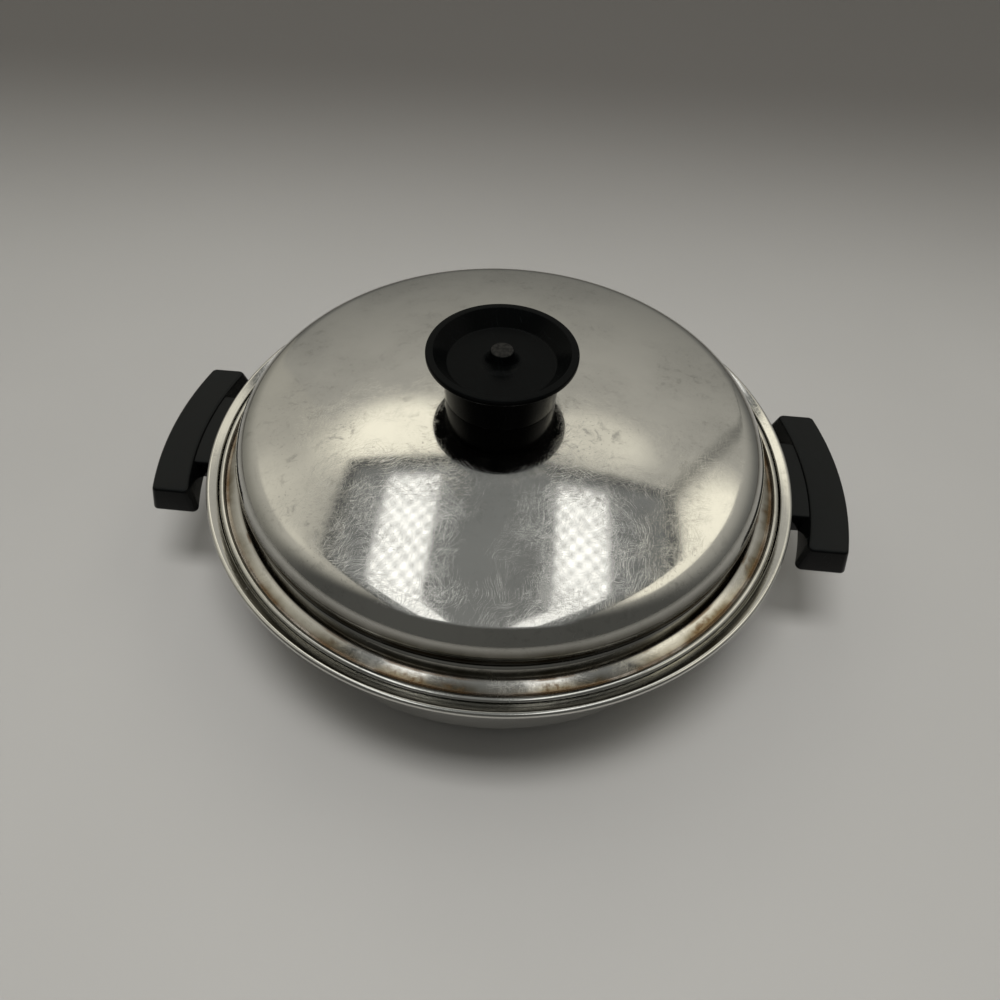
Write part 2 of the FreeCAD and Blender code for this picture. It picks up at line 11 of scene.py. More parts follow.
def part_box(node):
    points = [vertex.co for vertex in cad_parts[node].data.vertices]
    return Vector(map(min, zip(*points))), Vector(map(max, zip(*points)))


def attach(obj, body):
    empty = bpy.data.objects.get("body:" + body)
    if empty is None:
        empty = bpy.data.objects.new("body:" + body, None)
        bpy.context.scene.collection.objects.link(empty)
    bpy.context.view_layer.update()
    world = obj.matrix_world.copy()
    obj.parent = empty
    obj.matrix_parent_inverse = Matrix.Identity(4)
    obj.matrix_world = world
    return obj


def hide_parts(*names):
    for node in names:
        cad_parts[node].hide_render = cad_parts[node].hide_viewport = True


bl_info = {
    "name": "Round electric skillet",
    "version": (1, 0, 0),
    "blender": (4, 5, 0),
    "location": "3D View > Sidebar > Skillet",
    "description": "Builds the polished pieces of a round electric skillet over its frame",
    "category": "Object",
}

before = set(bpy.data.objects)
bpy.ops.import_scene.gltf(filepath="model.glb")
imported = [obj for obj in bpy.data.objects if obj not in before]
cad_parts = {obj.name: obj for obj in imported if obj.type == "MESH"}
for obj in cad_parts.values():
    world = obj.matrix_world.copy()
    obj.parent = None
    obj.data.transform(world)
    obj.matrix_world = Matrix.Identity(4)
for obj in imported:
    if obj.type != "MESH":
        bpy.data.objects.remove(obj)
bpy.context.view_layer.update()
pan_low, pan_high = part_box("pan_shell")
lid_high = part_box("lid_shell")[1]
knob_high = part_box("lid_knob")[1]
handle_low, handle_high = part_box("handle_right")
bracket_low, bracket_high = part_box("handle_bracket_right")

# modelling, in metres
start_size = 0.001
merge_distance = 1e-6
seam_distance = 2e-6
shortest_edge = 1e-8
same_place = 1e-9
level_slack = 1e-5

# scratches on the steel: length and width of each layer in metres, and its share of the surface
scratch_layers = (
    (0.012, 0.00016, 0.360),
    (0.007, 0.00013, 0.365),
    (0.018, 0.00018, 0.350),
    (0.005, 0.00014, 0.360),
    (0.009, 0.00015, 0.355),
    (0.022, 0.00018, 0.340),
)

# the studio, as directions: how far across (x) and deep (y) for each unit up (z)
lowest_up = 0.02
opening_near = (-0.72, -0.55)
opening_far = (0.73, 0.70)
opening_side = (0.50, 0.475)
frame_far = (0.68, 0.65)
frame_side = (0.455, 0.43)
strips_across = ((-0.335, -0.185), (0.135, 0.275))
strips_near = (-0.58, -0.50)
strips_far = (0.65, 0.60)
strip_fade = 0.012
dot_rates = (150.0, 125.0)
dot_depth = 0.6
white = (1.0, 0.99, 0.97)
# cream patches on the walls: middle, reach and strength
glow_patches = (
    ((-0.36, 0.84, 0), (0.34, 0.28, 1), 1.1),
    ((0.25, 0.88, 0), (0.26, 0.22, 1), 0.5),
    ((0.70, 0.36, 0), (0.32, 0.64, 1), 1.9),
    ((-0.80, 0.45, 0), (0.34, 0.50, 1), 0.35),
)
# dark line where two walls meet, and the edges of the left wall and of the dim front
corner_slope = 1.5
corner_near = (-0.10, -0.02)
corner_far = (0.06, 0.0)
corner_start = (0.40, 0.50)
left_wall_edge = (-0.02, 0.04)
front_fade = (0.05, -0.45)

# the key lamp and the camera, in metres
key_place = (0.0, -0.27, 1.2)
key_width = 0.5
key_depth = 0.25
floor_size = 14
floor_fade = (0.15, 0.75)
camera_place = (0.0162, -0.2908, 0.3816)
camera_shift = (0.0283, -0.0545)
film_width = 36
clip_start = 0.01


def length(name, description, default):
    """A size in metres that a user may change."""
    return FloatProperty(name=name, description=description, default=default, min=0.0, unit="LENGTH",
                         precision=5)


def angle(name, description, degrees):
    """An angle that a user may change."""
    return FloatProperty(name=name, description=description, default=math.radians(degrees), subtype="ANGLE")


def colour(name, description, default):
    """A linear colour that a user may change."""
    return FloatVectorProperty(name=name, description=description, default=default, size=3, min=0.0, max=1.0,
                               subtype="COLOR")


def amount(name, description, default, greatest=1.0):
    """A share or strength that a user may change."""
    return FloatProperty(name=name, description=description, default=default, min=0.0, max=greatest,
                         subtype="FACTOR")


class PanSizes(PropertyGroup):
    """Sizes of the pan"""
    rim_radius: length("Rim radius", "Outside of the rolled rim", pan_high.x)
    rim_height: length("Rim height", "Top of the rolled rim above the table", pan_high.z)
    bottom_height: length("Bottom height", "Underside of the pan above the table", pan_low.z)
    sheet: length("Sheet", "Thickness of the pan's steel", 0.0016)
    bead: length("Rim bead", "Radius of the rolled rim's section", 0.0015)
    bead_sweep: angle("Bead sweep", "How far round the rim is rolled", 266)
    lip_width: length("Lip width", "Sloped lip inside the rolled rim", 0.0041)
    lip_slope: angle("Lip slope", "Fall of the lip towards the seat", 22)
    lip_edge: length("Lip edge", "Radius between step and lip", 0.0007)
    seat_depth: length("Seat depth", "Lid seat below the rim", 0.0043)
    seat_width: length("Seat width", "Flat ring that carries the lid", 0.0062)
    seat_corner: length("Seat corner", "Radius between seat and step", 0.0012)
    seat_edge: length("Seat edge", "Radius between wall and seat", 0.0022)
    wall_taper: angle("Wall taper", "Lean of the wall from upright", 9.2)
    corner: length("Corner radius", "Outside corner between wall and bottom", 0.016)


class LidSizes(PropertyGroup):
    """Sizes of the lid"""
    top_height: length("Top height", "Top of the dome above the table", lid_high.z)
    sheet: length("Sheet", "Thickness of the lid's steel", 0.0008)
    crown_radius: length("Crown radius", "Radius of the dome's nearly flat crown", 0.685)
    shoulder_radius: length("Shoulder radius", "Radius of the dome's shoulder", 0.0159)
    crease_radius: length("Crease radius", "Distance of the crease from the axis", 0.1326)
    crease_height: length("Crease height", "Crease above the table", 0.0841)
    crease_step: length("Crease step", "First step out and down from the crease, and its radius", 0.0003)
    ledge_width: length("Ledge width", "Ledge under the crease", 0.0008)
    ledge_drop: length("Ledge drop", "Fall of the ledge under the crease", 0.0006)
    foot_radius: length("Foot radius", "Foot of the collar under the crease", 0.1357)
    foot_height: length("Foot height", "Foot of the collar above the table", 0.0787)
    foot_corner: length("Foot corner", "Radius at the collar's foot", 0.0009)
    flange_width: length("Flange width", "From the collar's foot to the groove", 0.0053)
    groove_height: length("Groove height", "Groove inside the hem, above the table", 0.077)
    groove_corner: length("Groove corner", "Radius between flange and groove", 0.0012)
    hem_radius: length("Hem radius", "Radius of the rolled hem's section", 0.0016)
    hem_circle: length("Hem circle", "Middle of the rolled hem from the axis", 0.1439)
    hem_height: length("Hem height", "Middle of the rolled hem above the table", 0.0776)
    screw_hole: length("Screw hole", "Radius of the hole for the knob's screw", 0.0028)


class KnobSizes(PropertyGroup):
    """Sizes of the knob"""
    top_height: length("Top height", "Knob rim above the table", knob_high.z)
    rim_radius: length("Rim radius", "Outside of the knob's lip", 0.0368)
    lip_width: length("Lip width", "Flat on top of the lip", 0.0036)
    lip_thickness: length("Lip thickness", "Height of the lip's upright edge", 0.003)
    lip_inner_edge: length("Lip inner edge", "Radius between dish and lip", 0.0009)
    lip_outer_edge: length("Lip outer edge", "Radius of the lip's outer edges", 0.0011)
    cove_height: length("Cove height", "Height of the cove under the lip", 0.0034)
    cove_radius: length("Cove radius", "Radius between cove and stem", 0.003)
    stem_top: length("Stem top", "Radius under the cove", 0.0288)
    stem_foot: length("Stem foot", "Radius where the stem meets the lid", 0.028)
    foot_edge: length("Foot edge", "Radius of the stem's foot edges", 0.0004)
    foot_wall: length("Foot wall", "Ring of the stem that stands on the lid", 0.004)
    hollow_height: length("Hollow height", "Height of the hollow under the stem", 0.0065)
    hollow_corner: length("Hollow corner", "Radius at the top of the hollow", 0.001)
    dish_depth: length("Dish depth", "Dish floor under the rim", 0.008)
    dish_floor: length("Dish floor", "Radius of the dish floor", 0.0265)
    dish_corner: length("Dish corner", "Radius at the edge of the dish floor", 0.0015)
    nub_radius: length("Nub radius", "Flat top of the nub", 0.0057)
    nub_height: length("Nub height", "Nub above the dish floor", 0.0077)
    nub_edge: length("Nub edge", "Radius round the nub's top", 0.0008)
    nub_spread: length("Nub spread", "Spread of the nub's side towards its foot", 0.001)
    nub_foot: length("Nub foot", "Radius between nub and dish floor", 0.005)


class HandleSizes(PropertyGroup):
    """Sizes of the handles"""
    top_height: length("Top height", "Top of the grip above the table", handle_high.z)
    height: length("Height", "Thickness of the grip", handle_high.z - handle_low.z)
    inner_radius: length("Inner radius", "Inner edge of the grip's top", 0.1621)
    top_width: length("Top width", "Width of the grip's top", 0.0186)
    draft: length("Draft", "Spread of each side from top to bottom", 0.0026)
    half_length: length("Half length", "Half the grip's length along Y, at the top", 0.0476)
    end_corner: length("End corner", "Radius of the upright corners", 0.003)
    edge: length("Edge", "Radius of the top and bottom edges", 0.0016)
    block_width: length("Block width", "Block between grip and pan", 0.052)
    block_drop: length("Block drop", "Block top below the grip's top", 0.0012)
    block_rise: length("Block rise", "Block bottom above the grip's bottom", 0.0008)
    block_edge: length("Block edge", "Bevel of the block's edges", 0.0014)
    saddle: length("Saddle", "Bracket steel between block and pan", 0.0016)
    clearance: length("Clearance", "Play between block and saddle", 0.00002)
    tongue_width: length("Tongue width", "Slot for the bracket's tongue", 0.030)
    tongue_sheet: length("Tongue", "Thickness of the bracket's tongue", 0.002)


class FinishSettings(PropertyGroup):
    """Colours and wear of the skillet's finishes"""
    steel: colour("Steel", "Polished stainless steel", (0.60, 0.595, 0.56))
    stain: colour("Stain", "Baked-on grease in the lid's groove", (0.11, 0.06, 0.022))
    # flange colour: a straw heat colour, darker than heat alone leaves, as painted shade on the flange
    tint_and_shade: colour("Heat tint", "Straw tint of steel that has been hot", (0.15, 0.13, 0.088))
    # collar colour: a real olive coat, darkened further as painted shade for the collar's dark reflection
    grime_and_shade: colour("Grime", "Olive film on the lid's collar", (0.045, 0.038, 0.022))
    phenolic: colour("Phenolic", "Black moulded handles and knob", (0.0014, 0.0016, 0.0016))
    # greyed phenolic for real wear and scuffs, and for a painted sheen on up-facing faces
    worn_and_sheen_phenolic: colour("Worn phenolic", "Greyed, handled phenolic", (0.0046, 0.0055, 0.0055))
    worn_nub: colour("Worn nub", "Rubbed top of the nub in the knob's dish", (0.018, 0.0175, 0.016))
    aluminium: colour("Aluminium", "Heat spreader", (0.55, 0.55, 0.54))
    rubber: colour("Rubber", "Feet", (0.02, 0.02, 0.02))
    gloss: amount("Steel roughness", "Roughness of clean polished steel", 0.03)
    wear: amount("Wear", "Strength of scratches and spots", 1.0, greatest=2.0)
    turns: IntProperty(name="Segments", description="Segments round each turned piece", default=320, min=64)


class StageSettings(PropertyGroup):
    """Floor, light and camera"""
    floor: colour("Floor", "Plain pale floor", (0.40, 0.395, 0.385))
    far_floor: colour("Far floor", "The floor where it falls into shade at the back", (0.13, 0.123, 0.116))
    walls: colour("Walls", "Soft light round the object", (0.61, 0.59, 0.535))
    horizon: colour("Horizon", "Dimmer light near the floor", (0.165, 0.164, 0.153))
    glow: colour("Glow", "Bright cream patches on the walls", (0.88, 0.83, 0.68))
    opening: colour("Opening", "Greyer light from straight above", (0.27, 0.275, 0.27))
    strip: FloatProperty(name="Strip lamps", description="Brightness of both mirrored strips", default=1.35,
                         min=0.0)
    key: FloatProperty(name="Key lamp", description="Power of the soft lamp overhead", default=9.6, min=0.0)
    lens: FloatProperty(name="Lens", description="Focal length on a 36 mm wide frame", default=28.24, min=1.0)
    pitch: angle("Pitch", "Camera's look below the horizon", 46.22)
    heading: angle("Heading", "Camera's turn about the object's axis", 5.95)
    roll: angle("Roll", "Camera's roll", 0.63)


# outlines

def corner_points(before, corner, after, radius, steps):
    """Points of the arc that rounds a corner of an outline."""
    back = (before - corner).normalized()
    ahead = (after - corner).normalized()
    half = back.angle(ahead) / 2
    bisector = (back + ahead).normalized()
    centre = corner + bisector * (radius / math.sin(half))
    start = corner + back * (radius / math.tan(half)) - centre
    end = corner + ahead * (radius / math.tan(half)) - centre
    turn = start.angle_signed(end)
    return [centre + Matrix.Rotation(-turn * i / steps, 2) @ start for i in range(steps + 1)]


def rounded(corners, steps=8):
    """Points along lines and arcs through (radius, height, corner radius) corners."""
    places = [Vector((x, z)) for x, z, radius in corners]
    points = [places[0]]
    for index in range(1, len(corners) - 1):
        radius = corners[index][2]
        if radius:
            points += corner_points(places[index - 1], places[index], places[index + 1], radius, steps)
        else:
            points.append(places[index])
    return points + [places[-1]]


def arc(centre, radius, start, end, steps):
    """Points on a circle from one angle to another, in degrees from outwards towards up."""
    points = []
    for i in range(steps + 1):
        turn = math.radians(start + (end - start) * i / steps)
        points.append(centre + Vector((math.cos(turn), math.sin(turn))) * radius)
    return points


def offset(points, distance, sharpest=0.5):
    """The same path moved sideways: to its right for a positive distance."""
    moved = []
    for index, point in enumerate(points):
        sides = []
        for a, b in ((index - 1, index), (index, index + 1)):
            if 0 <= a and b < len(points) and (points[b] - points[a]).length > same_place:
                along = (points[b] - points[a]).normalized()
                sides.append(Vector((along.y, -along.x)))
        normal = sum(sides, Vector((0, 0))).normalized()
        stretch = max(normal.dot(sides[0]), sharpest)
        moved.append(point + normal * distance / stretch)
    return moved


# modelling

def choose(piece):
    """Makes a piece the only selected object, and the active one."""
    bpy.ops.object.select_all(action="DESELECT")
    piece.select_set(True)
    bpy.context.view_layer.objects.active = piece


def start_piece(name):
    """A new mesh object at the origin, in edit mode, with everything in it selected."""
    bpy.ops.object.select_all(action="DESELECT")
    bpy.ops.mesh.primitive_plane_add(size=start_size, location=(0, 0, 0))
    piece = bpy.context.object
    piece.name = name
    piece.data.name = name
    bpy.ops.object.mode_set(mode="EDIT")
    bpy.ops.mesh.select_mode(type="VERT")
    bpy.ops.mesh.select_all(action="SELECT")
    return piece


def draw(points):
    """Draws a closed chain of edges by extruding the selected vertices, as one, through points in space."""
    bpy.ops.mesh.merge(type="CENTER")
    bpy.ops.transform.translate(value=points[0])
    for here, there in zip(points, points[1:] + points[:1]):
        if (there - here).length > shortest_edge:
            bpy.ops.mesh.extrude_region_move(TRANSFORM_OT_translate={"value": there - here})


def clean(distance=merge_distance):
    """Merges doubles and turns all faces outwards, in edit mode."""
    bpy.ops.mesh.select_all(action="SELECT")
    bpy.ops.mesh.remove_doubles(threshold=distance)
    bpy.ops.mesh.normals_make_consistent(inside=False)


def finish_piece(piece, sharp):
    """Leaves edit mode and shades the piece smooth, but for edges sharper than an angle in degrees."""
    bpy.ops.object.mode_set(mode="OBJECT")
    choose(piece)
    bpy.ops.object.shade_smooth_by_angle(angle=math.radians(sharp))


def turned(name, points, segments, sharp=35):
    """A piece turned about Z from a closed outline of (radius, height) points."""
    piece = start_piece(name)
    draw([Vector((p.x, 0, p.y)) for p in points])
    bpy.ops.mesh.select_all(action="SELECT")
    bpy.ops.mesh.spin(steps=segments, angle=2 * math.pi, center=(0, 0, 0), axis=(0, 0, 1))
    clean(seam_distance)
    finish_piece(piece, sharp)
    return piece


def apply_modifier(piece, kind, **settings):
    """Adds a modifier to a piece and applies it."""
    choose(piece)
    modifier = piece.modifiers.new(kind.title(), kind)
    for key, value in settings.items():
        setattr(modifier, key, value)
    bpy.ops.object.modifier_apply(modifier=modifier.name)


def combine(piece, tool, operation):
    """Joins a closed tool piece to a piece, or cuts the piece with it, and removes the tool."""
    apply_modifier(piece, "BOOLEAN", object=tool, operation=operation, solver="EXACT")
    bpy.data.objects.remove(tool)


def settle(piece):
    """Puts a piece's place, turn and scale into its mesh."""
    choose(piece)
    bpy.ops.object.transform_apply(location=True, rotation=True, scale=True)


def block(name, low, high):
    """A closed box between two corners."""
    bpy.ops.object.select_all(action="DESELECT")
    centre = (Vector(low) + Vector(high)) / 2
    bpy.ops.mesh.primitive_cube_add(size=1, location=centre, scale=Vector(high) - Vector(low))
    piece = bpy.context.object
    piece.name = name
    settle(piece)
    return piece


def choose_edges_at(piece, height):
    """Selects, in edit mode, the edges that lie level at a height."""
    bpy.ops.mesh.select_all(action="DESELECT")
    bpy.ops.mesh.select_mode(type="EDGE")
    mesh = bmesh.from_edit_mesh(piece.data)
    for edge in mesh.edges:
        edge.select_set(all(abs(vertex.co.z - height) < level_slack for vertex in edge.verts))
    mesh.select_flush_mode()
    bmesh.update_edit_mesh(piece.data)


def give(piece, body, slot, material, *nodes):
    """Finishes a new piece: it takes a material, rides on a body and stands for nodes."""
    piece.data.materials.clear()
    piece.data.materials.append(material)
    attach(piece, body)
    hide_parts(*nodes)


def coat(material, *nodes):
    """Gives CAD nodes a material."""
    for name in nodes:
        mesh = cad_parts[name].data
        if mesh.materials:
            for index in range(len(mesh.materials)):
                mesh.materials[index] = material
        else:
            mesh.materials.append(material)


# shader nodes

def add(tree, kind, sockets=None, **settings):
    """A node with its settings, and its sockets set to values or linked to other nodes' outputs."""
    node = tree.nodes.new("ShaderNode" + kind)
    for key, value in settings.items():
        setattr(node, key, value)
    for key, value in (sockets or {}).items():
        if isinstance(value, NodeSocket):
            tree.links.new(value, node.inputs[key])
        else:
            node.inputs[key].default_value = value
    return node


def new_material(name, **sockets):
    """A material with one surface shader, whose named sockets are set."""
    material = bpy.data.materials.new(name)
    material.use_nodes = True
    tree = material.node_tree
    tree.nodes.clear()
    shader = add(tree, "BsdfPrincipled", sockets)
    add(tree, "OutputMaterial", {"Surface": shader.outputs[0]})
    return material, tree, shader


def finish_surface(tree, shader, surface, dullness, normal):
    """Links a colour, a roughness and a normal to a surface shader."""
    tree.links.new(surface, shader.inputs["Base Color"])
    tree.links.new(dullness, shader.inputs["Roughness"])
    tree.links.new(normal, shader.inputs["Normal"])


def laid(tree, vector, size, turn=0.0, middle=(0, 0, 0)):
    """Coordinates measured in a pattern's own size, from its middle, after a turn about Z."""
    sockets = {"Vector": vector, "Location": middle, "Rotation": (0, 0, turn), "Scale": size}
    return add(tree, "Mapping", sockets, vector_type="TEXTURE").outputs[0]


def place(tree, size=(1, 1, 1)):
    """Object coordinates measured in a pattern's own size."""
    return laid(tree, add(tree, "TexCoord").outputs["Object"], size)


def noise(tree, vector, detail=2.0, roughness=0.5, distortion=0.0):
    """Noise between 0 and 1 whose features are about one unit of its vector."""
    sockets = {"Vector": vector, "Scale": 1.0, "Detail": detail, "Roughness": roughness, "Distortion": distortion}
    return add(tree, "TexNoise", sockets).outputs[0]


def mottle(tree, size, detail=2.0, roughness=0.5, distortion=0.0):
    """Noise between 0 and 1 whose features have a size in metres."""
    return noise(tree, place(tree, (size, size, size)), detail, roughness, distortion)


def fit(tree, value, low, high, start=0.0, end=1.0):
    """A value mapped smoothly from one range to another, and held at its ends."""
    sockets = {"Value": value, "From Min": low, "From Max": high, "To Min": start, "To Max": end}
    return add(tree, "MapRange", sockets, interpolation_type="SMOOTHSTEP").outputs[0]


def between(tree, value, low_edge, high_edge):
    """1 between two edges, each given by where it starts and where it is full."""
    return times(tree, fit(tree, value, *low_edge), fit(tree, value, *high_edge))


def calculate(tree, operation, *values):
    """The result of one operation on values."""
    return add(tree, "Math", dict(enumerate(values)), operation=operation).outputs[0]


def combined(tree, operation, first, second):
    """The result of one operation on vectors."""
    return add(tree, "VectorMath", {0: first, 1: second}, operation=operation).outputs[0]


def along_axis(tree, index):
    """One of the object coordinates: 0 for x, 1 for y and 2 for z."""
    return add(tree, "SeparateXYZ", {0: place(tree)}).outputs[index]


def times(tree, a, b):
    """One value times another."""
    return calculate(tree, "MULTIPLY", a, b)


def most(tree, a, b):
    """The greater of two values."""
    return calculate(tree, "MAXIMUM", a, b)


def sum_of(tree, first, *others):
    """The sum of several values."""
    total = first
    for value in others:
        total = calculate(tree, "ADD", total, value)
    return total


def measure(tree, vector):
    """The length of a vector."""
    return add(tree, "VectorMath", {0: vector}, operation="LENGTH").outputs["Value"]


def shaded(tone, factor):
    """A colour made lighter or darker."""
    return tuple(channel * factor for channel in tone)


def blend(tree, share, first, second):
    """A colour between two colours."""
    node = add(tree, "Mix", {0: share}, data_type="RGBA")
    for index, value in ((6, first), (7, second)):
        if isinstance(value, NodeSocket):
            tree.links.new(value, node.inputs[index])
        else:
            node.inputs[index].default_value = (*value, 1)
    return node.outputs[2]


def brighten(tree, share, first, second):
    """A colour with a share of a second colour added to it."""
    node = add(tree, "Mix", {0: share, 6: first, 7: (*second, 1)}, data_type="RGBA", blend_type="ADD",
               clamp_factor=False)
    return node.outputs[2]


def axis_distance(tree):
    """Distance from the upright axis."""
    return measure(tree, combined(tree, "MULTIPLY", place(tree), (1, 1, 0)))


def ring(tree, distance, middle, half):
    """1 on a ring of a given radius and half width, fading to 0 at its edges."""
    away = calculate(tree, "ABSOLUTE", calculate(tree, "SUBTRACT", distance, middle))
    return fit(tree, away, half, 0.0)


def bent(tree, size, reach):
    """Object coordinates bent to and fro, so that scratches laid on them curve."""
    sway = add(tree, "TexNoise", {"Vector": place(tree, (size, size, size)), "Scale": 1.0, "Detail": 1.0})
    shift = combined(tree, "MULTIPLY", sway.outputs[1], (reach, reach, 0))
    return combined(tree, "ADD", place(tree), shift)


def scratches(tree, where, long, wide, turn, share, fade=0.08):
    """Long thin scratches along one direction of the coordinates. A smaller share leaves fewer of them."""
    streaks = noise(tree, laid(tree, where, (long, wide, long), turn), detail=1.0)
    return fit(tree, streaks, 1 - share, 1 - share + fade)


def bump(tree, height, distance, normal=None):
    """A bump of a real height in metres for a height map of 0 to 1."""
    sockets = {"Height": height, "Distance": distance, "Strength": 1.0}
    if normal is not None:
        sockets["Normal"] = normal
    return add(tree, "Bump", sockets).outputs[0]


# finishes

def steel(name, finish, spots=1.0, scratched=1.0, turned_lines=0.0, stains_and_shade=False, roughness=None, tone=1.0):
    """Polished stainless steel with fine scratches, dull spots and, where asked, turning lines and stains with
    painted shade.
    """
    rough = finish.gloss if roughness is None else roughness
    material, tree, shader = new_material(name, Metallic=1.0)
    bright = shaded(finish.steel, tone)
    cloud = mottle(tree, 0.05, detail=4.0, roughness=0.6)
    spot = dull_spots(tree, cloud, spots * finish.wear)
    lines = fine_scratches(tree, scratched * finish.wear)
    surface = blend(tree, fit(tree, cloud, 0.35, 0.7, 0.0, 0.6), bright, shaded(bright, 0.78))
    surface = blend(tree, times(tree, spot, 0.45), surface, shaded(bright, 0.45))
    dullness = sum_of(tree, fit(tree, cloud, 0.3, 0.75, rough, rough + 0.03), times(tree, spot, 0.20),
                      times(tree, lines, 0.07))
    normal = bump(tree, mottle(tree, 0.030, detail=1.0), 0.00002 * finish.wear)
    normal = bump(tree, mottle(tree, 0.0005, roughness=0.6), 0.0000012 * finish.wear, normal)
    normal = bump(tree, lines, 0.0000034, normal)
    if turned_lines:
        groove = turning_marks(tree)
        normal = bump(tree, groove, 0.000010 * turned_lines, normal)
        dullness = sum_of(tree, dullness, fit(tree, groove, 0.45, 0.7, 0.0, 0.08 * turned_lines))
    if stains_and_shade:
        surface, dullness = groove_stains_and_shade(tree, surface, dullness)
    finish_surface(tree, shader, surface, dullness, normal)
    return material


def dull_spots(tree, cloud, strength):
    """Blotches of some 6 mm and specks of some 1.3 mm, gathered where the steel is cloudy."""
    blotch = fit(tree, mottle(tree, 0.006, detail=4.0, roughness=0.65, distortion=0.5), 0.52, 0.72)
    speck = fit(tree, mottle(tree, 0.0013, roughness=0.6), 0.62, 0.72)
    return times(tree, most(tree, blotch, speck), times(tree, fit(tree, cloud, 0.40, 0.62), strength))


def fine_scratches(tree, strength, first_turn=0.35, next_turn=1.03):
    """Curved hair scratches laid in several directions, and tiny nicks, crowded in places."""
    swirl = bent(tree, size=0.020, reach=0.016)
    lines = 0.0
    for index, (long, wide, share) in enumerate(scratch_layers):
        layer = scratches(tree, swirl, long, wide, first_turn + index * next_turn, share)
        lines = most(tree, lines, layer)
    nicks = fit(tree, mottle(tree, 0.0008, detail=1.0), 0.70, 0.76)
    crowded = fit(tree, mottle(tree, 0.018), 0.35, 0.65, 0.35, 1.0)
    return times(tree, most(tree, lines, nicks), times(tree, crowded, strength))


def turning_marks(tree, rate=2600):
    """Fine rings left by turning, a given number to the metre, along radius and height."""
    section = add(tree, "CombineXYZ", {0: axis_distance(tree), 1: along_axis(tree, 2)}).outputs[0]
    return noise(tree, combined(tree, "MULTIPLY", section, (rate, rate, 0)), roughness=0.6)


def groove_stains_and_shade(tree, surface, dullness):
    """Baked-on stains in the lid's flange and groove, a straw heat colour on the flange and an olive coat on the
    collar, the last two darkened as painted shade.
    """
    finish = bpy.context.scene.skillet_finish
    lid = bpy.context.scene.skillet_lid
    distance = axis_distance(tree)
    groove = lid.foot_radius + lid.flange_width
    uneven = noise(tree, place(tree, (0.026, 0.026, 0.5)), detail=3.0, roughness=0.6)
    fine = mottle(tree, 0.003, detail=4.0, roughness=0.65)
    collar = ring(tree, distance, (lid.crease_radius + lid.foot_radius) / 2 + 0.0004, half=0.0024)
    flange = ring(tree, distance, groove - 0.0006, half=0.0046)
    edge = ring(tree, distance, groove + 0.0006, half=0.0019)
    foot = ring(tree, distance, lid.foot_radius + 0.0004, half=0.0012)
    # olive coat on the collar, darkened as painted shade for its dark reflection
    film_and_shade = times(tree, collar, fit(tree, uneven, 0.2, 0.7, 0.8, 1.0))
    surface = blend(tree, film_and_shade, surface, finish.grime_and_shade)
    # straw heat colour on the flange, darkened as painted shade
    tinted_and_shaded = times(tree, flange, fit(tree, uneven, 0.34, 0.60, 0.55, 1.0))
    surface = blend(tree, tinted_and_shaded, surface, finish.tint_and_shade)
    crust = times(tree, edge, fit(tree, uneven, 0.36, 0.54, 0.5, 1.0))
    crust = most(tree, crust, times(tree, foot, fit(tree, uneven, 0.45, 0.60, 0.2, 0.9)))
    patches = times(tree, flange, times(tree, fit(tree, uneven, 0.50, 0.62), fit(tree, fine, 0.38, 0.62)))
    dirt = most(tree, crust, patches)
    surface = blend(tree, times(tree, dirt, 0.88), surface, finish.stain)
    return surface, sum_of(tree, dullness, times(tree, dirt, 0.22), times(tree, collar, 0.05))


def phenolic(name, finish, dust_and_sheen=1.0, satin=0.42, glossy=0.16, sheen=0.15):
    """Black moulded phenolic: satin, slightly greyed where it faces up by dust and a painted sheen, glossier on
    its sides.
    """
    knob = bpy.context.scene.skillet_knob
    material, tree, shader = new_material(name, **{"Specular IOR Level": sheen})
    facing = add(tree, "SeparateXYZ", {0: add(tree, "TexCoord").outputs["Normal"]}).outputs[2]
    upwards = fit(tree, facing, 0.55, 0.98)
    cloud = mottle(tree, 0.012, detail=4.0, roughness=0.6)
    fine = mottle(tree, 0.0005)
    swirl = bent(tree, size=0.015, reach=0.008)
    scuffs = most(tree, scratches(tree, swirl, 0.012, 0.00025, turn=0.5, share=0.33),
                  scratches(tree, swirl, 0.009, 0.0003, turn=2.1, share=0.33))
    # up-facing faces greyed: some dust, and a painted sheen where the tops catch the light
    dust_and_sheen_share = times(tree, times(tree, upwards, fit(tree, cloud, 0.25, 0.75, 0.45, 1.0)), dust_and_sheen)
    surface = blend(tree, dust_and_sheen_share, finish.phenolic, finish.worn_and_sheen_phenolic)
    surface = blend(tree, times(tree, scuffs, 0.25), surface, shaded(finish.worn_and_sheen_phenolic, 2.2))
    within_nub = fit(tree, axis_distance(tree), knob.nub_radius + 0.0004, knob.nub_radius - 0.0006)
    rubbed = fit(tree, mottle(tree, 0.0016, detail=3.0), 0.35, 0.65, 0.35, 1.0)
    nub = times(tree, times(tree, within_nub, upwards), rubbed)
    surface = blend(tree, nub, surface, finish.worn_nub)
    rough = sum_of(tree, fit(tree, upwards, 0.0, 1.0, glossy, satin), fit(tree, cloud, 0.3, 0.7, -0.03, 0.06),
                   times(tree, scuffs, 0.12))
    normal = bump(tree, fine, 0.000012)
    normal = bump(tree, cloud, 0.00006, normal)
    normal = bump(tree, scuffs, 0.000006, normal)
    finish_surface(tree, shader, surface, rough, normal)
    return material


